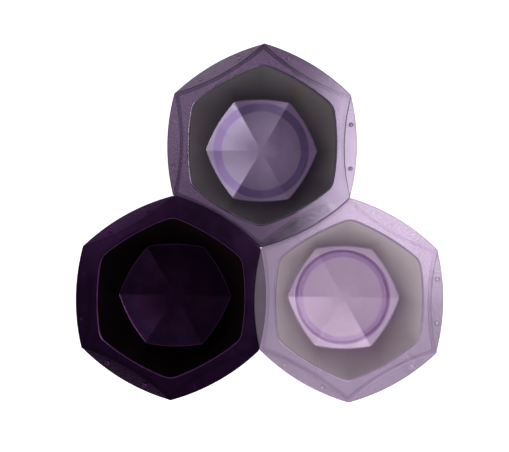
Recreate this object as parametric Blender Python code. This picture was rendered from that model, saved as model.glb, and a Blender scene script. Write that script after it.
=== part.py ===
"""Three hexagonal hair colour bowls, locked rim to rim as a set.

Each bowl is one clear-tinted moulding with a soft non-slip ring in its foot. Its rim has six tabs:
three flush with the rim's top, with blind sockets underneath, and three one layer lower, with two
small snap-in studs each. A neighbour's upper tab lies over a lower tab, and its sockets sit over
the studs. The set stands on z = 0, with its origin under the point where the three bowls meet.
"""

import math

import bmesh
import bpy

MM = 0.001

# Plan of the set and of one bowl's rim
CELL_RADIUS = 64.0 * MM  # corner radius of one cell of the honeycomb
PITCH = math.sqrt(3) * CELL_RADIUS
CORNER_CLEARANCE = 0.2 * MM  # a bowl's corners stay this far inside its cell
CORNER_RADIUS = CELL_RADIUS - CORNER_CLEARANCE
TAB_BULGE = 4.05 * MM  # how far a tab's edge bows out from the straight side
APOTHEM = CORNER_RADIUS * math.cos(math.pi / 6)

# Heights
RIM_TOP = 58.0 * MM
PLATE = 2.0 * MM  # thickness of the rim and of its tabs
TAB_GAP = 0.9 * MM  # between an upper tab and the lower tab under it
UPPER_TAB_UNDERSIDE = RIM_TOP - PLATE
LOWER_TAB_TOP = UPPER_TAB_UNDERSIDE - TAB_GAP
SKIRT_BOTTOM = LOWER_TAB_TOP - PLATE
SKIRT_WALL = 1.6 * MM

# Mouth, wall and floor
MOUTH_CORNER = 50.9 * MM
MOUTH_SIDE = 46.5 * MM
MOUTH_CORNER_SOFTNESS = 1.0 * MM
MOUTH_FILLET = 1.1 * MM
FILLET_STEPS = 3
WALL = 2.0 * MM
WALL_STEPS = 3
FLOOR_CORNER = 37.1 * MM
FLOOR_SIDE = 33.9 * MM
FLOOR_CORNER_SOFTNESS = 0.25 * MM
FLOOR_EDGE_HEIGHT = 12.0 * MM
FLOOR_DEPTH = 5.0 * MM  # the six facets fall this far to the middle
FLOOR_THICKNESS = 2.2 * MM
HEEL = 1.5 * MM  # the outside corner under the wall, outwards of the floor's edge

# Foot and non-slip ring
FOOT_OUTER = 31.4 * MM
FOOT_INNER = 29.6 * MM
FOOT_BOTTOM = 1.0 * MM
RING_GAP = 0.3 * MM
RING_OUTER = FOOT_INNER - RING_GAP
RING_INNER = 26.6 * MM
RING_TOP = 8.0 * MM
RING_LIP = FOOT_BOTTOM - RING_GAP  # the ring's lip runs under the foot's edge
RING_CHAMFER = 0.25 * MM

# Studs and sockets, on the line between two cells
SNAP_APOTHEM = PITCH / 2
SNAP_SPREAD = 13.7 * MM  # to each side of the tab's middle
SOCKET_RADIUS = 1.6 * MM
SOCKET_DEPTH = 0.9 * MM
STUD_HOLE_RADIUS = 1.15 * MM
STUD_SHANK_RADIUS = 1.0 * MM
STUD_HEAD_RADIUS = 1.5 * MM
STUD_HEAD_HEIGHT = 0.5 * MM
STUD_TAIL_RADIUS = 1.35 * MM
STUD_TAIL_HEIGHT = 0.7 * MM
STUD_GAP = 0.1 * MM  # between the tab and the stud's head or tail

UPPER_TABS = (60, 180, 300)  # directions of the tabs flush with the rim, in degrees
LOWER_TABS = (0, 120, 240)

SHELL_SEGMENTS = 48  # a multiple of 12, so that every corner and every tab's middle has a point
RING_SEGMENTS = 36
STUD_SEGMENTS = 12
SHARP_ANGLE = math.radians(25)

# name: (place of the bowl's axis, plastic's colour, ring's colour)
BOWLS = {
    "smoky": ((0.0, 0.75 * CELL_RADIUS), (0.165, 0.120, 0.205), (0.110, 0.055, 0.150)),
    "dark": ((-PITCH / 2, -0.75 * CELL_RADIUS), (0.018, 0.007, 0.024), (0.012, 0.005, 0.018)),
    "lilac": ((PITCH / 2, -0.75 * CELL_RADIUS), (0.420, 0.320, 0.450), (0.320, 0.210, 0.360)),
}


def clear_scene():
    for item in list(bpy.data.objects):
        bpy.data.objects.remove(item, do_unlink=True)


def make_material(name, colour, roughness):
    material = bpy.data.materials.new(name)
    material.use_nodes = True
    shader = material.node_tree.nodes["Principled BSDF"]
    shader.inputs["Base Color"].default_value = (*colour, 1.0)
    shader.inputs["Roughness"].default_value = roughness
    shader.inputs["Metallic"].default_value = 0.0
    return material


def side_radius(angle, corner, side):
    """Distance, in the direction `angle` from a side's middle, to an arc through the two corners.

    `corner` is the corners' distance from the centre and `side` that of the arc's middle.
    """
    apothem = corner * math.cos(math.pi / 6)
    bulge = side - apothem
    arc_radius = (corner * corner / 4 + bulge * bulge) / (2 * abs(bulge))
    outward = math.copysign(1, bulge)
    centre = side - outward * arc_radius
    return centre * math.cos(angle) + outward * math.sqrt(
        arc_radius**2 - (centre * math.sin(angle)) ** 2
    )


def hexagon_radius(angle, first_side, corner, side, softness=0.0):
    """Radius of a six-sided outline whose sides' middles lie at first_side + 60 degrees * k.

    With a softness its corners are rounded, by a smooth minimum of the two nearest sides.
    """
    sixth = math.pi / 3
    off = (angle - first_side + sixth / 2) % sixth - sixth / 2
    near = side_radius(off, corner, side)
    if softness == 0:
        return near
    far = side_radius(sixth - abs(off), corner, side)
    return near - softness * math.log1p(math.exp((near - far) / softness))


def nearest_tab(degrees):
    return round(degrees / 60) * 60 % 360


def tab_outline(degrees, bowed_out):
    """Radius of the rim where the tabs in `bowed_out` bow out and the other sides bow in."""
    off = math.radians((degrees + 30) % 60 - 30)
    bulge = TAB_BULGE if nearest_tab(degrees) in bowed_out else -TAB_BULGE
    return side_radius(off, CORNER_RADIUS, APOTHEM + bulge)


def mouth_radius(angle):
    return hexagon_radius(
        angle, 0.0, MOUTH_CORNER, MOUTH_SIDE, MOUTH_CORNER_SOFTNESS
    )


def floor_radius(angle):
    return hexagon_radius(
        angle, math.pi / 6, FLOOR_CORNER, FLOOR_SIDE, FLOOR_CORNER_SOFTNESS
    )


def floor_height(angle, radius):
    """Height of the floor's upper face: six flat facets that fall to the middle."""
    sixth = math.pi / 3
    off = angle % sixth - sixth / 2
    reach = radius * math.cos(off) / (FLOOR_CORNER * math.cos(sixth / 2))
    return FLOOR_EDGE_HEIGHT - FLOOR_DEPTH * (1 - reach)


def shell_profile(degrees):
    """(radius, height) pairs of the moulding's section in one direction.

    They run from the middle of the floor, up the wall, over the rim and back under to the middle.
    """
    angle = math.radians(degrees)
    floor_edge = floor_radius(angle)
    edge_height = floor_height(angle, floor_edge)
    mouth = mouth_radius(angle)
    wall_top = (mouth - MOUTH_FILLET, RIM_TOP - MOUTH_FILLET)

    def wall_point(share, offset):
        radius = floor_edge + (wall_top[0] - floor_edge) * share
        height = edge_height + (wall_top[1] - edge_height) * share
        return radius + offset, height

    profile = [(0.0, FLOOR_EDGE_HEIGHT - FLOOR_DEPTH)]
    profile += [wall_point(i / WALL_STEPS, 0.0) for i in range(WALL_STEPS)]
    for i in range(FILLET_STEPS + 1):
        turn = math.pi / 2 * i / FILLET_STEPS
        profile.append(
            (
                mouth - MOUTH_FILLET * math.cos(turn),
                RIM_TOP - MOUTH_FILLET * (1 - math.sin(turn)),
            )
        )

    upper = tab_outline(degrees, UPPER_TABS)
    step = tab_outline(degrees, ())
    lower = tab_outline(degrees, LOWER_TABS)
    off = math.radians((degrees + 30) % 60 - 30)
    skirt_inner = side_radius(
        off, CORNER_RADIUS - 2 * SKIRT_WALL, APOTHEM - TAB_BULGE - SKIRT_WALL
    )
    profile += [
        (upper, RIM_TOP),
        (upper, UPPER_TAB_UNDERSIDE),
        (step, UPPER_TAB_UNDERSIDE),
        (step, LOWER_TAB_TOP),
        (lower, LOWER_TAB_TOP),
        (lower, SKIRT_BOTTOM),
        (skirt_inner, SKIRT_BOTTOM),
        (skirt_inner, UPPER_TAB_UNDERSIDE),
    ]

    under_rim = (UPPER_TAB_UNDERSIDE - edge_height) / (wall_top[1] - edge_height)
    profile.append(wall_point(under_rim, WALL))
    profile += [wall_point(i / WALL_STEPS, WALL) for i in range(WALL_STEPS - 1, 0, -1)]
    profile.append((floor_edge + HEEL, edge_height - FLOOR_THICKNESS))
    profile += [
        (FOOT_OUTER, floor_height(angle, FOOT_OUTER) - FLOOR_THICKNESS),
        (FOOT_OUTER, FOOT_BOTTOM),
        (FOOT_INNER, FOOT_BOTTOM),
        (FOOT_INNER, floor_height(angle, FOOT_INNER) - FLOOR_THICKNESS),
        (0.0, FLOOR_EDGE_HEIGHT - FLOOR_DEPTH - FLOOR_THICKNESS),
    ]
    return profile


def turned_mesh(name, profile_at, segments, closed):
    """Mesh through the sections that profile_at(degrees) gives all the way round.

    A closed section makes a ring. An open one starts and ends on the axis.
    """
    bm = bmesh.new()
    columns = []
    for i in range(segments):
        degrees = 360 * i / segments
        x, y = math.cos(math.radians(degrees)), math.sin(math.radians(degrees))
        columns.append([bm.verts.new((r * x, r * y, z)) for r, z in profile_at(degrees)])
    count = len(columns[0])
    for i, column in enumerate(columns):
        after = columns[(i + 1) % segments]
        for j in range(count if closed else count - 1):
            k = (j + 1) % count
            bm.faces.new((column[j], after[j], after[k], column[k]))
    bmesh.ops.remove_doubles(bm, verts=bm.verts, dist=1e-6)
    bmesh.ops.dissolve_degenerate(bm, edges=bm.edges, dist=1e-6)
    bmesh.ops.triangulate(bm, faces=bm.faces)
    bmesh.ops.recalc_face_normals(bm, faces=bm.faces)
    mesh = bpy.data.meshes.new(name)
    bm.to_mesh(mesh)
    bm.free()
    mesh.shade_smooth()
    mesh.set_sharp_from_angle(angle=SHARP_ANGLE)
    return mesh


def add_object(name, mesh, material, parent):
    item = bpy.data.objects.new(name, mesh)
    bpy.context.scene.collection.objects.link(item)
    item.data.materials.append(material)
    item.parent = parent
    return item


def snap_places(tabs):
    """(x, y) of the two studs or sockets on each of these tabs, from the bowl's axis."""
    for degrees in tabs:
        angle = math.radians(degrees)
        for side in (-1, 1):
            spread = side * SNAP_SPREAD
            yield (
                SNAP_APOTHEM * math.cos(angle) - spread * math.sin(angle),
                SNAP_APOTHEM * math.sin(angle) + spread * math.cos(angle),
            )


def add_cylinder(bm, place, radius, bottom, top):
    made = bmesh.ops.create_cone(
        bm,
        cap_ends=True,
        segments=STUD_SEGMENTS,
        radius1=radius,
        radius2=radius,
        depth=top - bottom,
    )
    bmesh.ops.translate(bm, verts=made["verts"], vec=(*place, (top + bottom) / 2))


def add_snap_cutter(name, parent):
    """Cutter for the blind sockets under the upper tabs and the studs' holes in the lower tabs."""
    bm = bmesh.new()
    for place in snap_places(UPPER_TABS):
        top = UPPER_TAB_UNDERSIDE + SOCKET_DEPTH
        add_cylinder(bm, place, SOCKET_RADIUS, LOWER_TAB_TOP, top)
    for place in snap_places(LOWER_TABS):
        bottom, top = SKIRT_BOTTOM - PLATE, LOWER_TAB_TOP + PLATE
        add_cylinder(bm, place, STUD_HOLE_RADIUS, bottom, top)
    mesh = bpy.data.meshes.new(name)
    bm.to_mesh(mesh)
    bm.free()
    cutter = bpy.data.objects.new(name, mesh)
    bpy.context.scene.collection.objects.link(cutter)
    cutter.parent = parent
    cutter.hide_render = True
    cutter.display_type = "WIRE"
    return cutter


def add_shell(name, plastic, parent):
    mesh = turned_mesh(name, shell_profile, SHELL_SEGMENTS, closed=False)
    shell = add_object(name, mesh, plastic, parent)
    cut = shell.modifiers.new("snap_fit", "BOOLEAN")
    cut.operation = "DIFFERENCE"
    cut.solver = "EXACT"
    cut.object = add_snap_cutter(f"{name}_cutter", parent)
    return shell


def ring_section(_degrees):
    """Section of the non-slip ring: an upright wall with a lip that runs out under the foot."""
    return [
        (RING_INNER + RING_CHAMFER, 0.0),
        (FOOT_OUTER - RING_CHAMFER, 0.0),
        (FOOT_OUTER, RING_CHAMFER),
        (FOOT_OUTER, RING_LIP),
        (RING_OUTER, RING_LIP),
        (RING_OUTER, RING_TOP),
        (RING_INNER, RING_TOP),
        (RING_INNER, RING_CHAMFER),
    ]


def stud_section(_degrees):
    """Section of a snap-in stud, from its domed head down through the tab to its barbed tail."""
    head_bottom = LOWER_TAB_TOP + STUD_GAP
    tail_top = SKIRT_BOTTOM - STUD_GAP
    return [
        (0.0, head_bottom + STUD_HEAD_HEIGHT),
        (0.55 * STUD_HEAD_RADIUS, head_bottom + 0.85 * STUD_HEAD_HEIGHT),
        (STUD_HEAD_RADIUS, head_bottom),
        (STUD_SHANK_RADIUS, head_bottom),
        (STUD_SHANK_RADIUS, tail_top),
        (STUD_TAIL_RADIUS, tail_top),
        (0.6 * STUD_TAIL_RADIUS, tail_top - STUD_TAIL_HEIGHT),
        (0.0, tail_top - STUD_TAIL_HEIGHT),
    ]


def add_studs(prefix, plastic, parent):
    mesh = turned_mesh(f"{prefix}_stud", stud_section, STUD_SEGMENTS, closed=False)
    for number, (x, y) in enumerate(snap_places(LOWER_TABS), start=1):
        stud = add_object(f"{prefix}_stud_{number}", mesh, plastic, parent)
        stud.location = (x, y, 0.0)


def add_bowl(name, place, plastic_colour, ring_colour):
    axis = bpy.data.objects.new(f"{name}_bowl", None)
    bpy.context.scene.collection.objects.link(axis)
    axis.location = (*place, 0.0)
    plastic = make_material(f"{name}_plastic", plastic_colour, 0.12)
    rubber = make_material(f"{name}_ring_rubber", ring_colour, 0.55)
    add_shell(f"{name}_bowl_shell", plastic, axis)
    ring = turned_mesh(f"{name}_ring", ring_section, RING_SEGMENTS, closed=True)
    add_object(f"{name}_nonslip_ring", ring, rubber, axis)
    add_studs(name, plastic, axis)


def main():
    clear_scene()
    for name, (place, plastic_colour, ring_colour) in BOWLS.items():
        add_bowl(name, place, plastic_colour, ring_colour)


main()
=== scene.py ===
import math

import bmesh
import bpy
from mathutils import Matrix, Vector


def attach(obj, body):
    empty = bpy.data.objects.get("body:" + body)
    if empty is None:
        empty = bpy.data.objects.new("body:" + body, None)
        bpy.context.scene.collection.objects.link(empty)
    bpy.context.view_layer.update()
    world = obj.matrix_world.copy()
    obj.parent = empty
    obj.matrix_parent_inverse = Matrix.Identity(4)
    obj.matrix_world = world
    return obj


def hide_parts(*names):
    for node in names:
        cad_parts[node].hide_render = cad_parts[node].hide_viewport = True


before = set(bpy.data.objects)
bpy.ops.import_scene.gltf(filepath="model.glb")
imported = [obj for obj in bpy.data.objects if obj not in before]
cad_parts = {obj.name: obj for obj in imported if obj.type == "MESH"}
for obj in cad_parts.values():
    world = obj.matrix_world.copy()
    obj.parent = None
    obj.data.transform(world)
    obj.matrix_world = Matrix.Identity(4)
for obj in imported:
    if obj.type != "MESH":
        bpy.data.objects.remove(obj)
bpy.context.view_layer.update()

MM = 0.001

# The bowls: place of each axis, and how far its moulding is turned from the smoky bowl's
CELL_RADIUS = 64.0 * MM
PITCH = math.sqrt(3) * CELL_RADIUS
PLACES = {
    "smoky": (0.0, 0.75 * CELL_RADIUS, 0),
    "dark": (-PITCH / 2, -0.75 * CELL_RADIUS, 120),
    "lilac": (PITCH / 2, -0.75 * CELL_RADIUS, 240),
}

# Rim and tabs
CORNER_GAP = 0.2 * MM
CORNER_RADIUS = CELL_RADIUS - CORNER_GAP
CORNER_SOFTNESS = 0.1 * MM
APOTHEM = CORNER_RADIUS * math.cos(math.pi / 6)
TAB_BULGE = 4.05 * MM
RIM_TOP = 58.0 * MM
UPPER_TAB_UNDERSIDE = 56.0 * MM
LOWER_TAB_TOP = 55.1 * MM
SKIRT_BOTTOM = 53.1 * MM
SKIRT_WALL = 1.6 * MM
UPPER_TABS = (60, 180, 300)
LOWER_TABS = (0, 120, 240)
EDGE_ROUND = 0.4 * MM
RIM_ROUND = 0.5 * MM

# Mouth, wall, floor and foot
MOUTH_CORNER = 50.9 * MM
MOUTH_SIDE = 46.5 * MM
MOUTH_CORNER_SOFTNESS = 1.0 * MM
MOUTH_FILLET = 1.1 * MM
WALL = 2.0 * MM
FLOOR_CORNER = 37.1 * MM
FLOOR_SIDE = 33.9 * MM
FLOOR_CORNER_SOFTNESS = 0.25 * MM
FLOOR_EDGE_HEIGHT = 12.0 * MM
FLOOR_DEPTH = 5.0 * MM
FLOOR_THICKNESS = 2.2 * MM
FLOOR_FILLET = 0.8 * MM
HEEL = 1.5 * MM
FOOT_OUTER = 31.4 * MM
FOOT_INNER = 29.6 * MM
FOOT_BOTTOM = 1.0 * MM
FOOT_ROUND = 0.4 * MM

# Non-slip ring
RING_OUTER = 29.3 * MM
RING_INNER = 26.6 * MM
RING_TOP = 8.0 * MM
RING_LIP = 0.7 * MM
RING_TOP_ROUND = 0.5 * MM
RING_SOLE_ROUND = 0.25 * MM
RING_LIP_ROUND = 0.2 * MM
RING_SEAM = 1.0 * MM
# Radii on the floor between which the ring and the foot show: start, full, full, end. The floor
# there is painted darker and more violet, partly the ring's own colour and partly painted shade
RING_ZONE = (25.8 * MM, 26.4 * MM, 31.2 * MM, 32.2 * MM)

# Studs and sockets
SNAP_APOTHEM = PITCH / 2
SNAP_SPREAD = 13.7 * MM
SOCKET_RADIUS = 1.6 * MM
SOCKET_DEPTH = 0.9 * MM
STUD_HOLE_RADIUS = 1.15 * MM
CUT_PAST = 2.0 * MM
STUD_SHANK_RADIUS = 1.0 * MM
STUD_HEAD_RADIUS = 1.5 * MM
STUD_HEAD_HEIGHT = 0.5 * MM
STUD_TAIL_RADIUS = 1.35 * MM
STUD_TAIL_HEIGHT = 0.7 * MM
STUD_GAP = 0.1 * MM
STUD_EDGE_ROUND = 0.12 * MM
STUD_SHANK_ROUND = 0.1 * MM
STUD_TIP_ROUND = 0.15 * MM
STUD_CROWN_ROUND = 0.6 * MM
STUD_CROWN = (0.55, 0.85)     # share of the head's radius and height where it curves over
STUD_TIP = 0.6                # share of the tail's radius left at its tip

# Fineness of the meshes
SHELL_SEGMENTS = 240
RING_SEGMENTS = 144
STUD_SEGMENTS = 32
ROUND_STEPS = 5
STUD_ROUND_STEPS = 3
MOST_ROUNDED = 0.45           # share of an edge that the rounding at one end may take up
WELD = 1e-6
SHELL_SHARP = 30              # degrees past which an edge stays sharp
SMALL_SHARP = 40

# Regions of the moulding: points of `shell_section`, counted with its corners rounded in
# ROUND_STEPS of 5
FLOOR_POINTS = range(0, 6)
# Floor points over the ring and foot, painted with the ring's colour and with painted shade
RING_SHADE_POINTS = (2, 3)
INSIDE_POINTS = range(9, 13)
# The rim's outer edge and the steps between the tabs: painted shade, dark lines seen from any
# side, for the darkness clear plastic shows at an edge where it bends the light away
EDGE_SHADE_POINTS = (*range(19, 23), *range(31, 41))
# The lower tabs' tops and outer edge, where a paler, greyer film paints on the light they catch
LOWER_TAB_POINTS = range(41, 54)
OUTSIDE_POINTS = range(71, 79)
FOOT_POINTS = range(79, 103)


def side_radius(angle, corner, side):
    """Distance, in the direction `angle` from a side's middle, to an arc through two corners."""
    apothem = corner * math.cos(math.pi / 6)
    bulge = side - apothem
    arc_radius = (corner * corner / 4 + bulge * bulge) / (2 * abs(bulge))
    outward = math.copysign(1, bulge)
    centre = side - outward * arc_radius
    return centre * math.cos(angle) + outward * math.sqrt(
        max(arc_radius**2 - (centre * math.sin(angle)) ** 2, 0.0)
    )


def softer(near, far, softness):
    """Smooth minimum of two radii, which rounds the corner between two sides."""
    return near - softness * math.log1p(math.exp((near - far) / softness))


def off_side(degrees, first_side=0.0):
    """Angle, in radians, from the middle of the nearest side."""
    return math.radians((degrees - first_side + 30) % 60 - 30)


def hexagon_radius(degrees, first_side, corner, side, softness):
    """Radius of a hexagon with curved sides, given at its corners and its sides' middles."""
    off = off_side(degrees, first_side)
    near = side_radius(off, corner, side)
    far = side_radius(math.pi / 3 - abs(off), corner, side)
    return softer(near, far, softness)


def tab_outline(degrees, bowed_out):
    """Radius of the rim where the tabs in `bowed_out` bow out and the other sides bow in."""
    off = off_side(degrees)
    nearest = round(degrees / 60) * 60
    beside = nearest + (60 if off > 0 else -60)

    def side_at(direction, angle):
        bulge = TAB_BULGE if direction % 360 in bowed_out else -TAB_BULGE
        return side_radius(angle, CORNER_RADIUS, APOTHEM + bulge)

    near = side_at(nearest, off)
    far = side_at(beside, math.pi / 3 - abs(off))
    return softer(near, far, CORNER_SOFTNESS)


def floor_height(degrees, radius):
    """Height of the floor's upper face: six flat facets that fall to the middle."""
    off = off_side(degrees, 30)
    reach = radius * math.cos(off) / (FLOOR_CORNER * math.cos(math.pi / 6))
    return FLOOR_EDGE_HEIGHT - FLOOR_DEPTH * (1 - reach)


def rounded(points, steps=ROUND_STEPS):
    """A section with its corners rounded: each point is (radius, height, rounding)."""
    made = []
    for i, (r, z, size) in enumerate(points):
        if size == 0 or i in (0, len(points) - 1):
            made.append((r, z))
            continue
        here = Vector((r, z))
        before = Vector(points[i - 1][:2]) - here
        after = Vector(points[i + 1][:2]) - here
        reach = min(size, MOST_ROUNDED * before.length, MOST_ROUNDED * after.length)
        start = here + before.normalized() * reach
        end = here + after.normalized() * reach
        for step in range(steps + 1):
            t = step / steps
            point = start * (1 - t) ** 2 + here * 2 * t * (1 - t) + end * t**2
            made.append((point.x, point.y))
    return made


def shell_section(degrees):
    """The moulding's section in one direction, from the floor's middle round to its underside."""
    floor_edge = hexagon_radius(degrees, 30, FLOOR_CORNER, FLOOR_SIDE, FLOOR_CORNER_SOFTNESS)
    edge_height = floor_height(degrees, floor_edge)
    mouth = hexagon_radius(degrees, 0, MOUTH_CORNER, MOUTH_SIDE, MOUTH_CORNER_SOFTNESS)
    wall_top = mouth - MOUTH_FILLET
    rise = RIM_TOP - MOUTH_FILLET - edge_height

    def wall_at(height):
        return floor_edge + (wall_top - floor_edge) * (height - edge_height) / rise

    off = off_side(degrees)
    skirt_inner = side_radius(
        off, CORNER_RADIUS - 2 * SKIRT_WALL, APOTHEM - TAB_BULGE - SKIRT_WALL
    )
    upper = tab_outline(degrees, UPPER_TABS)
    step = tab_outline(degrees, ())
    lower = tab_outline(degrees, LOWER_TABS)
    mid_height = (edge_height + RIM_TOP) / 2
    return rounded(
        [
            (0.0, FLOOR_EDGE_HEIGHT - FLOOR_DEPTH, 0),
            *((r, floor_height(degrees, r), 0) for r in RING_ZONE),
            (floor_edge, edge_height, FLOOR_FILLET),
            (wall_at(mid_height), mid_height, 0),
            (wall_at(RIM_TOP), RIM_TOP, MOUTH_FILLET),
            (upper, RIM_TOP, RIM_ROUND),
            (upper, UPPER_TAB_UNDERSIDE, EDGE_ROUND),
            (step, UPPER_TAB_UNDERSIDE, EDGE_ROUND),
            (step, LOWER_TAB_TOP, EDGE_ROUND),
            (lower, LOWER_TAB_TOP, EDGE_ROUND),
            (lower, SKIRT_BOTTOM, EDGE_ROUND),
            (skirt_inner, SKIRT_BOTTOM, EDGE_ROUND),
            (skirt_inner, UPPER_TAB_UNDERSIDE, EDGE_ROUND),
            (wall_at(UPPER_TAB_UNDERSIDE) + WALL, UPPER_TAB_UNDERSIDE, EDGE_ROUND),
            (wall_at(mid_height) + WALL, mid_height, 0),
            (floor_edge + HEEL, edge_height - FLOOR_THICKNESS, FLOOR_FILLET),
            (FOOT_OUTER, floor_height(degrees, FOOT_OUTER) - FLOOR_THICKNESS, FOOT_ROUND),
            (FOOT_OUTER, FOOT_BOTTOM, FOOT_ROUND),
            (FOOT_INNER, FOOT_BOTTOM, FOOT_ROUND),
            (FOOT_INNER, floor_height(degrees, FOOT_INNER) - FLOOR_THICKNESS, FOOT_ROUND),
            (0.0, FLOOR_EDGE_HEIGHT - FLOOR_DEPTH - FLOOR_THICKNESS, 0),
        ]
    )


def turned(name, section_at, segments, closed=False, ridges=(), marked=()):
    """Mesh through the sections all the way round. `ridges` are the directions in which two of
    the floor's facets meet, where its edges stay sharp on top and inside the foot. `marked`
    names vertex layers and the section's points that each of them marks for the material."""
    bm = bmesh.new()
    layers = [(bm.verts.layers.float.new(label), points) for label, points in marked]
    columns = []
    for i in range(segments):
        degrees = 360 * i / segments
        x, y = math.cos(math.radians(degrees)), math.sin(math.radians(degrees))
        columns.append([bm.verts.new((r * x, r * y, z)) for r, z in section_at(degrees)])
        for layer, points in layers:
            for j in points:
                columns[-1][j][layer] = 1.0
    count = len(columns[0])
    for i, column in enumerate(columns):
        after = columns[(i + 1) % segments]
        for j in range(count if closed else count - 1):
            k = (j + 1) % count
            bm.faces.new((column[j], after[j], after[k], column[k]))
    for degrees in ridges:
        column = columns[degrees * segments // 360]
        for pair in (*zip(column, column[1 : FLOOR_POINTS.stop]), column[-2:]):
            bm.edges.get(pair).smooth = False
    bmesh.ops.remove_doubles(bm, verts=bm.verts, dist=WELD)
    bmesh.ops.dissolve_degenerate(bm, edges=bm.edges, dist=WELD)
    bmesh.ops.recalc_face_normals(bm, faces=bm.faces)
    for face in bm.faces:
        face.smooth = True
    mesh = bpy.data.meshes.new(name)
    bm.to_mesh(mesh)
    bm.free()
    return mesh


def snap_places(tabs):
    """Places of the two studs or sockets on each of the tabs, from the bowl's axis."""
    for degrees in tabs:
        angle = math.radians(degrees)
        for spread in (-SNAP_SPREAD, SNAP_SPREAD):
            yield (
                SNAP_APOTHEM * math.cos(angle) - spread * math.sin(angle),
                SNAP_APOTHEM * math.sin(angle) + spread * math.cos(angle),
            )


def add_cylinder(bm, place, radius, bottom, top):
    made = bmesh.ops.create_cone(
        bm, cap_ends=True, segments=STUD_SEGMENTS, radius1=radius, radius2=radius,
        depth=top - bottom,
    )
    bmesh.ops.translate(bm, verts=made["verts"], vec=(*place, (top + bottom) / 2))


def make_shell_mesh():
    """The moulding, with its blind sockets and stud holes cut."""
    mesh = turned(
        "bowl_shell", shell_section, SHELL_SEGMENTS, ridges=range(0, 360, 60),
        marked=(
            ("inside", INSIDE_POINTS), ("outside", OUTSIDE_POINTS), ("floor", FLOOR_POINTS),
            ("seam", EDGE_SHADE_POINTS), ("lower_tab", LOWER_TAB_POINTS), ("foot", FOOT_POINTS),
            ("over_ring", RING_SHADE_POINTS),
        ),
    )
    bm = bmesh.new()
    for place in snap_places(UPPER_TABS):
        add_cylinder(bm, place, SOCKET_RADIUS, LOWER_TAB_TOP, UPPER_TAB_UNDERSIDE + SOCKET_DEPTH)
    for place in snap_places(LOWER_TABS):
        add_cylinder(
            bm, place, STUD_HOLE_RADIUS, SKIRT_BOTTOM - CUT_PAST, LOWER_TAB_TOP + CUT_PAST
        )
    cut_mesh = bpy.data.meshes.new("snap_cutter")
    bm.to_mesh(cut_mesh)
    bm.free()
    shell = bpy.data.objects.new("shell_blank", mesh)
    cutter = bpy.data.objects.new("snap_cutter", cut_mesh)
    for item in (shell, cutter):
        bpy.context.scene.collection.objects.link(item)
    cut = shell.modifiers.new("snap_fit", "BOOLEAN")
    cut.operation = "DIFFERENCE"
    cut.object = cutter
    bpy.context.view_layer.update()
    result = bpy.data.meshes.new_from_object(
        shell.evaluated_get(bpy.context.evaluated_depsgraph_get())
    )
    bpy.data.objects.remove(shell)
    bpy.data.objects.remove(cutter)
    return result


def ring_section(_degrees):
    """The ring's section, the same in every direction: a band with a lip under the foot."""
    return rounded(
        [
            (RING_INNER, RING_LIP, 0),
            (RING_INNER, 0.0, RING_SOLE_ROUND),
            (FOOT_OUTER, 0.0, RING_SOLE_ROUND),
            (FOOT_OUTER, RING_LIP, RING_LIP_ROUND),
            (RING_OUTER, RING_LIP, RING_LIP_ROUND),
            (RING_OUTER, RING_TOP, RING_TOP_ROUND),
            (RING_INNER, RING_TOP, RING_TOP_ROUND),
            (RING_INNER, RING_LIP + RING_SEAM, 0),
        ]
    )


def stud_section(_degrees):
    """The stud's section: a domed head, a shank through the tab and a barbed tail."""
    head_bottom = LOWER_TAB_TOP + STUD_GAP
    head_top = head_bottom + STUD_HEAD_HEIGHT
    crown_radius = STUD_CROWN[0] * STUD_HEAD_RADIUS
    crown_height = head_bottom + STUD_CROWN[1] * STUD_HEAD_HEIGHT
    tail_top = SKIRT_BOTTOM - STUD_GAP
    tail_tip = tail_top - STUD_TAIL_HEIGHT
    return rounded(
        [
            (0.0, head_top, 0),
            (crown_radius, crown_height, STUD_CROWN_ROUND),
            (STUD_HEAD_RADIUS, head_bottom, STUD_EDGE_ROUND),
            (STUD_SHANK_RADIUS, head_bottom, STUD_SHANK_ROUND),
            (STUD_SHANK_RADIUS, tail_top, STUD_SHANK_ROUND),
            (STUD_TAIL_RADIUS, tail_top, STUD_EDGE_ROUND),
            (STUD_TIP * STUD_TAIL_RADIUS, tail_tip, STUD_TIP_ROUND),
            (0.0, tail_tip, 0),
        ],
        steps=STUD_ROUND_STEPS,
    )


def finish_mesh(item, sharp):
    """Keep edges sharper than `sharp` degrees crisp."""
    item.data.set_sharp_from_angle(angle=math.radians(sharp))
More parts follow.
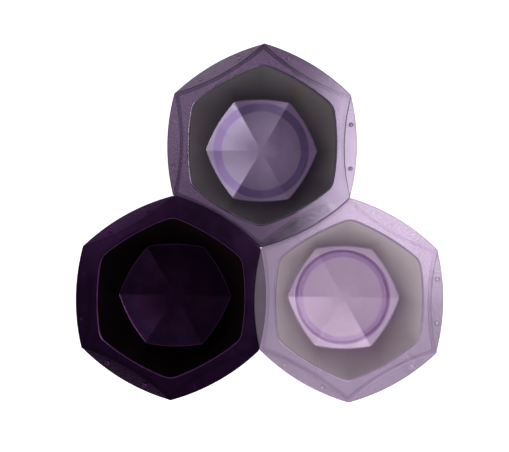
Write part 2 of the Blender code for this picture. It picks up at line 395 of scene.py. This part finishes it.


# Materials, by bowl. Colours of light, and shares of it from 0 to 1:
#   film         how much gets through each surface of the moulding, seen head-on; floor_film,
#                ring_film and tab_film are the same on the floor, over the ring and on the
#                lower tabs. Over the ring it is darker and more violet, partly the ring's own
#                colour and partly painted shade of the ring and foot seen through the floor;
#                on the lower tabs it is greyer, and far paler on the dark bowl: painted light,
#                the look that the light falling on them gives
#   slant        power of that tint where a surface is seen edge-on
#   clear        how much gets through CLEAR_DEPTH of what is inside
#   haze         how much of the view each surface hides; floor_haze, wall_haze (inner wall),
#                outer_haze and foot_haze are the same there
#   body         colour of the satin shine; floor_body and ring_body are the same there; over
#                the ring it is more violet, the ring's own colour seen through, painted on
#   gloss        how metal-like that shine is
#   wall         colour of the matt light that the inner wall sends back, and wall_share the
#                share of it there; outer, outer_share and foot are the same outside
#   rubber       colour of the ring, rubber_film how much light gets through its surfaces, and
#                rubber_haze how much of the view each of them hides
PLASTICS = {
    "smoky": {
        "film": (0.53, 0.470, 0.54), "slant": 3.5, "clear": (0.48, 0.33, 0.54), "haze": 0.27,
        "floor_haze": 0.34, "floor_film": (0.60, 0.48, 0.63), "tab_film": (0.57, 0.575, 0.555),
        "body": (0.78, 0.66, 0.87), "gloss": 0.92,
        "wall": (0.112, 0.106, 0.094), "wall_share": 0.8, "wall_haze": 0.9,
        "outer": (0.072, 0.042, 0.092), "outer_share": 0.85, "outer_haze": 0.6,
        "foot": (0.085, 0.042, 0.130), "foot_haze": 0.55,
        "ring_film": (0.50, 0.10, 0.70), "ring_body": (0.70, 0.48, 1.0),
        "floor_body": (0.80, 0.68, 0.97),
        "rubber": (0.13, 0.05, 0.21), "rubber_film": (0.58, 0.38, 0.68), "rubber_haze": 0.32,
    },
    "dark": {
        "film": (0.19, 0.085, 0.23), "slant": 3.5, "clear": (0.10, 0.06, 0.11), "haze": 0.27,
        "floor_haze": 0.12, "floor_film": (0.18, 0.10, 0.21), "tab_film": (0.45, 0.45, 0.46),
        "body": (0.54, 0.17, 0.72), "gloss": 0.98,
        "wall": (0.004, 0.002, 0.002), "wall_share": 0.97, "wall_haze": 0.95,
        "outer": (0.010, 0.004, 0.014), "outer_share": 0.985, "outer_haze": 0.93,
        "foot": (0.010, 0.004, 0.016), "foot_haze": 0.8,
        "ring_film": (0.18, 0.10, 0.21), "ring_body": (0.40, 0.14, 0.62),
        "floor_body": (0.46, 0.13, 0.54),
        "rubber": (0.01, 0.003, 0.015), "rubber_film": (0.2, 0.1, 0.25), "rubber_haze": 0.4,
    },
    "lilac": {
        "film": (0.75, 0.69, 0.78), "slant": 1.5, "clear": (0.84, 0.77, 0.86), "haze": 0.40,
        "floor_haze": 0.42, "floor_film": (1.0, 0.93, 0.99), "tab_film": (0.75, 0.70, 0.77),
        "body": (0.58, 0.47, 0.60), "gloss": 0.42,
        "wall": (0.50, 0.45, 0.43), "wall_share": 0.8, "wall_haze": 0.9,
        "outer": (0.60, 0.50, 0.62), "outer_share": 0.6, "outer_haze": 0.45,
        "foot": (0.62, 0.49, 0.70), "foot_haze": 0.3,
        "ring_film": (0.98, 0.90, 1.0), "ring_body": (0.58, 0.46, 0.63),
        "floor_body": (0.62, 0.50, 0.60),
        "rubber": (0.84, 0.68, 0.90), "rubber_film": (0.99, 0.92, 1.0), "rubber_haze": 0.22,
    },
}
CLEAR_DEPTH = 2.0 * MM
SATIN_IOR = 1.3
SATIN_ROUGHNESS = (0.16, 0.23)
FLOOR_ROUGHER = 0.12
COAT_ROUGHNESS = 0.25
WALL_IOR = 1.1
WALL_ROUGHNESS = 0.6
# Haze along the rim and step edges, nearly none: painted shade, the satin shine taken away so
# these edges stay dark lines however they are lit
EDGE_SHADE_HAZE = 0.05
EDGE_ON = (0.25, 0.85)        # facing values between which a surface turns edge-on
WORN_EDGE = (0.53, 0.62)      # pointiness of a slightly worn edge
WORN_HAZE = 0.06
BLOTCH_HAZE = 0.015
CLOUD_SIZE = 9.0 * MM
GRAIN_SIZE = 0.8 * MM
GRAIN_DEPTH = 0.002 * MM
STUD_HAZE = 0.35
STUD_FILM_POWER = 0.5
RUBBER_ROUGHNESS = (0.42, 0.58)
RUBBER_BLOTCH = 0.03
RUBBER_CLOUD_SIZE = 4.0 * MM
RUBBER_GRAIN_SIZE = 0.5 * MM
RUBBER_GRAIN_DEPTH = 0.02 * MM
COLOUR_HEADROOM = 1.02        # keeps the most absorbed channel's colour above 0
NOISE_SPAN = (0.3, 0.7)       # values that most of a noise pattern falls between


def shader_tree(name):
    material = bpy.data.materials.new(name)
    material.use_nodes = True
    return material, material.node_tree.nodes, material.node_tree.links


def map_range(nodes, links, value, ends, onto):
    """Node output with `value` carried from the pair `ends` onto the pair `onto`."""
    node = nodes.new("ShaderNodeMapRange")
    node.inputs["From Min"].default_value, node.inputs["From Max"].default_value = ends
    node.inputs["To Min"].default_value, node.inputs["To Max"].default_value = onto
    links.new(value, node.inputs["Value"])
    return node.outputs["Result"]


def noise(nodes, links, size, detail=3.0):
    """Node output, 0 to 1, with blotches about `size` across in the piece's own frame."""
    where = nodes.new("ShaderNodeTexCoord")
    scaled = nodes.new("ShaderNodeMapping")
    scaled.inputs["Scale"].default_value = [1 / size] * 3
    pattern = nodes.new("ShaderNodeTexNoise")
    pattern.inputs["Scale"].default_value = 1.0
    pattern.inputs["Detail"].default_value = detail
    links.new(where.outputs["Object"], scaled.inputs["Vector"])
    links.new(scaled.outputs["Vector"], pattern.inputs["Vector"])
    return pattern.outputs["Fac"]


def add_values(nodes, links, first, second):
    node = nodes.new("ShaderNodeMath")
    node.operation = "ADD"
    links.new(first, node.inputs[0])
    links.new(second, node.inputs[1])
    return node.outputs[0]


def add_bump(nodes, links, height, depth, shaders):
    bump = nodes.new("ShaderNodeBump")
    bump.inputs["Strength"].default_value = 1.0
    bump.inputs["Distance"].default_value = depth
    links.new(height, bump.inputs["Height"])
    for shader in shaders:
        links.new(bump.outputs["Normal"], shader.inputs["Normal"])


def see_through(nodes, links, clear, shown, haze):
    """Mix of what is behind with `shown`, in front, by the share `haze`."""
    mix = nodes.new("ShaderNodeMixShader")
    links.new(haze, mix.inputs[0])
    links.new(clear.outputs[0], mix.inputs[1])
    links.new(shown, mix.inputs[2])
    links.new(mix.outputs[0], nodes["Material Output"].inputs["Surface"])


def plastic_material(name, look):
    """Tinted clear plastic: satin surfaces that hide a little of what is behind, over an
    absorbing inside. Handling has scuffed it unevenly, most of all along its edges."""
    material, nodes, links = shader_tree(f"{name}_clear_plastic")
    satin = nodes["Principled BSDF"]
    satin.inputs["Metallic"].default_value = look["gloss"]
    satin.inputs["IOR"].default_value = SATIN_IOR
    satin.inputs["Coat Weight"].default_value = 1.0
    satin.inputs["Coat Roughness"].default_value = COAT_ROUGHNESS
    wall = nodes.new("ShaderNodeBsdfPrincipled")
    wall.inputs["Roughness"].default_value = WALL_ROUGHNESS
    wall.inputs["IOR"].default_value = WALL_IOR
    cloud = noise(nodes, links, CLOUD_SIZE)
    grain = noise(nodes, links, GRAIN_SIZE, detail=2.0)
    regions = {}
    for region in ("inside", "outside", "floor", "seam", "lower_tab", "foot", "over_ring"):
        node = nodes.new("ShaderNodeAttribute")
        node.attribute_name = region
        regions[region] = node.outputs["Fac"]
    rough = map_range(nodes, links, cloud, NOISE_SPAN, SATIN_ROUGHNESS)
    rougher = map_range(nodes, links, regions["floor"], (0, 1), (0, FLOOR_ROUGHER))
    links.new(add_values(nodes, links, rough, rougher), satin.inputs["Roughness"])
    add_bump(nodes, links, grain, GRAIN_DEPTH, (satin, wall))

    def by_region(plain, **others):
        """Value that is `plain` but for the regions named."""
        total = None
        for region, value in others.items():
            ends = (0, value - plain) if total else (plain, value)
            more = map_range(nodes, links, regions[region], (0, 1), ends)
            total = add_values(nodes, links, total, more) if total else more
        return total

    def colour_by_region(plain, **others):
        """Colour that is `plain` but for the regions named."""
        last = None
        for region, colour in others.items():
            node = nodes.new("ShaderNodeMix")
            node.data_type = "RGBA"
            node.inputs["A"].default_value = (*plain, 1)
            node.inputs["B"].default_value = (*colour, 1)
            links.new(regions[region], node.inputs["Factor"])
            if last:
                links.new(last, node.inputs["A"])
            last = node.outputs["Result"]
        return last

    # The shine over the ring is tinted more violet: the ring's own colour seen through, painted
    # on
    shine = colour_by_region(
        look["body"], floor=look["floor_body"], over_ring=look["ring_body"]
    )
    links.new(shine, satin.inputs["Base Color"])
    sent_back = colour_by_region(look["wall"], outside=look["outer"], foot=look["foot"])
    links.new(sent_back, wall.inputs["Base Color"])
    share = by_region(
        0, inside=look["wall_share"], outside=look["outer_share"], foot=look["outer_share"]
    )
    shown = nodes.new("ShaderNodeMixShader")
    links.new(share, shown.inputs[0])
    links.new(satin.outputs[0], shown.inputs[1])
    links.new(wall.outputs[0], shown.inputs[2])

    clear = nodes.new("ShaderNodeBsdfTransparent")
    facing = nodes.new("ShaderNodeLayerWeight")
    slant = map_range(nodes, links, facing.outputs["Facing"], EDGE_ON, (0, 1))
    film = nodes.new("ShaderNodeMix")
    film.data_type = "RGBA"
    head_on = colour_by_region(
        # Over the ring and foot the film is darker and more violet: partly the ring's own colour,
        # partly painted shade of the ring and foot seen through the floor
        look["film"], floor=look["floor_film"], over_ring=look["ring_film"],
        # On the lower tabs a greyer film, and a far paler one on the dark bowl: painted light,
        # the lighter, greyer look that light falling on them gives
        lower_tab=look["tab_film"],
    )
    links.new(head_on, film.inputs["A"])
    film.inputs["B"].default_value = (*[c ** look["slant"] for c in look["film"]], 1)
    # Along the rim and step edges the film takes its edge-on tint from every side: painted shade,
    # dark edge lines
    links.new(add_values(nodes, links, slant, regions["seam"]), film.inputs["Factor"])
    links.new(film.outputs["Result"], clear.inputs["Color"])

    geometry = nodes.new("ShaderNodeNewGeometry")
    worn = map_range(nodes, links, geometry.outputs["Pointiness"], WORN_EDGE, (0, WORN_HAZE))
    blotch = map_range(nodes, links, cloud, NOISE_SPAN, (-BLOTCH_HAZE, BLOTCH_HAZE))
    # Along the rim and step edges the haze drops almost to nothing: painted shade that keeps them
    # dark lines
    haze = by_region(
        look["haze"], inside=look["wall_haze"], outside=look["outer_haze"],
        floor=look["floor_haze"], seam=EDGE_SHADE_HAZE, foot=look["foot_haze"],
    )
    haze = add_values(nodes, links, haze, add_values(nodes, links, worn, blotch))
    see_through(nodes, links, clear, shown.outputs[0], haze)

    absorb = nodes.new("ShaderNodeVolumeAbsorption")
    strength = [-math.log(c) / CLEAR_DEPTH for c in look["clear"]]
    most = max(strength) * COLOUR_HEADROOM
    absorb.inputs["Color"].default_value = (*[1 - s / most for s in strength], 1)
    absorb.inputs["Density"].default_value = most
    links.new(absorb.outputs[0], nodes["Material Output"].inputs["Volume"])
    return material


def stud_look(look):
    """The studs are the same plastic, with a thinner tint and a haze of their own."""
    film = tuple(c**STUD_FILM_POWER for c in look["film"])
    return look | {"film": film, "haze": STUD_HAZE, "slant": 1.0}


def rubber_material(name, look):
    """Soft clear rubber, matt with a fine pebbled skin."""
    material, nodes, links = shader_tree(f"{name}_clear_rubber")
    skin = nodes["Principled BSDF"]
    skin.inputs["Base Color"].default_value = (*look["rubber"], 1)
    cloud = noise(nodes, links, RUBBER_CLOUD_SIZE)
    rough = map_range(nodes, links, cloud, NOISE_SPAN, RUBBER_ROUGHNESS)
    links.new(rough, skin.inputs["Roughness"])
    pebbles = noise(nodes, links, RUBBER_GRAIN_SIZE)
    add_bump(nodes, links, pebbles, RUBBER_GRAIN_DEPTH, (skin,))
    clear = nodes.new("ShaderNodeBsdfTransparent")
    clear.inputs["Color"].default_value = (*look["rubber_film"], 1)
    haze_ends = [look["rubber_haze"] + step for step in (-RUBBER_BLOTCH, RUBBER_BLOTCH)]
    haze = map_range(nodes, links, cloud, NOISE_SPAN, haze_ends)
    see_through(nodes, links, clear, skin.outputs[0], haze)
    return material


def add_piece(name, mesh, bowl, material, node):
    """A piece that rides on `bowl` and stands for one CAD node."""
    piece = bpy.data.objects.new(name, mesh)
    bpy.context.scene.collection.objects.link(piece)
    piece.data.materials.clear()
    piece.data.materials.append(material)
    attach(piece, f"{bowl}_bowl")
    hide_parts(node)
    return piece


def add_bowls():
    shell_mesh = make_shell_mesh()
    ring_mesh = turned("ring", ring_section, RING_SEGMENTS, closed=True)
    stud_mesh = turned("stud", stud_section, STUD_SEGMENTS)
    for bowl, (x, y, turn) in PLACES.items():
        plastic = plastic_material(bowl, PLASTICS[bowl])
        rubber = rubber_material(bowl, PLASTICS[bowl])
        pin = plastic_material(f"{bowl}_stud", stud_look(PLASTICS[bowl]))
        turned_by = Matrix.Rotation(math.radians(turn), 4, "Z")
        shell = add_piece(
            f"{bowl}_shell_moulding", shell_mesh.copy(), bowl, plastic,
            f"{bowl}_bowl_shell",
        )
        shell.data.transform(turned_by)
        shell.location = (x, y, 0)
        finish_mesh(shell, SHELL_SHARP)
        weigh = shell.modifiers.new("flat_faces", "WEIGHTED_NORMAL")
        weigh.keep_sharp = True
        ring = add_piece(
            f"{bowl}_foot_ring", ring_mesh.copy(), bowl, rubber,
            f"{bowl}_nonslip_ring",
        )
        ring.data.transform(turned_by)
        ring.location = (x, y, 0)
        finish_mesh(ring, SMALL_SHARP)
        for number, (sx, sy) in enumerate(snap_places(LOWER_TABS), start=1):
            stud = add_piece(
                f"{bowl}_snap_stud_{number}", stud_mesh.copy(), bowl, pin,
                f"{bowl}_stud_{number}",
            )
            stud.location = (x + sx, y + sy, 0)
            finish_mesh(stud, SMALL_SHARP)


# Camera, lights and floor
CAMERA_PLACE = Vector((-11.3, -14.3, 853.0)) * MM
CAMERA_TARGET = Vector((-4.2, -2.5, 58.0)) * MM
CAMERA_ROLL = math.radians(0.8)
CAMERA_LENS = 90.3
CAMERA_CLIP = (0.01, 10.0)
LIT_POINT = (0.0, 0.0, 0.04)
MOST_LAYERS = 24              # see-through surfaces that a line of sight may pass
FLOOR_REACH = 3.0
FLOOR_DROP = 0.5 * MM
FLOOR_SHADE = 0.92
FLOOR_ROUGHNESS = 0.6
FLOOR_GLOW = 0.8
WORLD_HORIZON = 0.5
WORLD_ZENITH = 0.02
WORLD_RISE = (0.1, 0.95)      # heights between which the sky goes from horizon to zenith


def add_camera():
    """Nearly straight above, turned slightly about its own axis."""
    data = bpy.data.cameras.new("camera")
    data.lens = CAMERA_LENS
    data.clip_start, data.clip_end = CAMERA_CLIP
    camera = bpy.data.objects.new("camera", data)
    bpy.context.scene.collection.objects.link(camera)
    back = (CAMERA_PLACE - CAMERA_TARGET).normalized()
    up_hint = Vector((-math.sin(CAMERA_ROLL), math.cos(CAMERA_ROLL), 0))
    right = up_hint.cross(back).normalized()
    up = back.cross(right)
    turn = Matrix((right, up, back)).transposed()
    camera.matrix_world = Matrix.Translation(CAMERA_PLACE) @ turn.to_4x4()
    bpy.context.scene.camera = camera


def add_light(name, place, size, power, target=None, turn=0.0):
    """A softbox that faces `target`, or straight down, turned by `turn` degrees."""
    data = bpy.data.lights.new(name, "AREA")
    data.shape = "RECTANGLE"
    data.size, data.size_y = size
    data.energy = power
    light = bpy.data.objects.new(name, data)
    bpy.context.scene.collection.objects.link(light)
    light.visible_camera = False
    light.location = place
    if target is None:
        light.rotation_euler = (0, 0, math.radians(turn))
    else:
        light.rotation_mode = "QUATERNION"
        light.rotation_quaternion = (Vector(place) - Vector(target)).to_track_quat("Z", "Y")
    return light


def add_floor():
    """A pale floor that glows a little, as a lit white sweep does."""
    mesh = bpy.data.meshes.new("floor")
    bm = bmesh.new()
    bmesh.ops.create_grid(bm, x_segments=1, y_segments=1, size=FLOOR_REACH)
    bm.to_mesh(mesh)
    bm.free()
    floor = bpy.data.objects.new("floor", mesh)
    bpy.context.scene.collection.objects.link(floor)
    floor.location = (0, 0, -FLOOR_DROP)
    material = bpy.data.materials.new("pale_floor")
    material.use_nodes = True
    shader = material.node_tree.nodes["Principled BSDF"]
    shader.inputs["Base Color"].default_value = (FLOOR_SHADE, FLOOR_SHADE, FLOOR_SHADE, 1)
    shader.inputs["Roughness"].default_value = FLOOR_ROUGHNESS
    shader.inputs["Specular IOR Level"].default_value = 0.0
    shader.inputs["Emission Color"].default_value = (1, 1, 1, 1)
    shader.inputs["Emission Strength"].default_value = FLOOR_GLOW
    mesh.materials.append(material)


def add_world():
    """White all round the horizon, darker overhead."""
    world = bpy.data.worlds.new("studio")
    bpy.context.scene.world = world
    world.use_nodes = True
    nodes, links = world.node_tree.nodes, world.node_tree.links
    shade = nodes["Background"]
    where = nodes.new("ShaderNodeTexCoord")
    split = nodes.new("ShaderNodeSeparateXYZ")
    level = nodes.new("ShaderNodeMapRange")
    level.interpolation_type = "SMOOTHSTEP"
    level.inputs["From Min"].default_value, level.inputs["From Max"].default_value = WORLD_RISE
    level.inputs["To Min"].default_value = WORLD_HORIZON
    level.inputs["To Max"].default_value = WORLD_ZENITH
    links.new(where.outputs["Generated"], split.inputs[0])
    links.new(split.outputs["Z"], level.inputs["Value"])
    links.new(level.outputs["Result"], shade.inputs["Strength"])
    shade.inputs["Color"].default_value = (1, 1, 1, 1)


add_bowls()
add_camera()
add_floor()
add_world()
add_light("key", place=(0.131, 0.045, 0.42), size=(0.138, 0.19), power=0.27)
add_light("corner", place=(-0.112, 0.102, 0.42), size=(0.116, 0.232), power=0.02, turn=-40)
fill = add_light(
    "fill", place=(-0.75, -0.65, 0.42), size=(1.2, 0.7), power=10, target=LIT_POINT
)
side = add_light(
    "side", place=(0.90, -0.05, 0.42), size=(0.7, 1.2), power=5, target=LIT_POINT
)
for soft in (fill, side):
    soft.visible_glossy = False
bpy.context.scene.view_settings.view_transform = "Standard"
bpy.context.scene.cycles.transparent_max_bounces = MOST_LAYERS
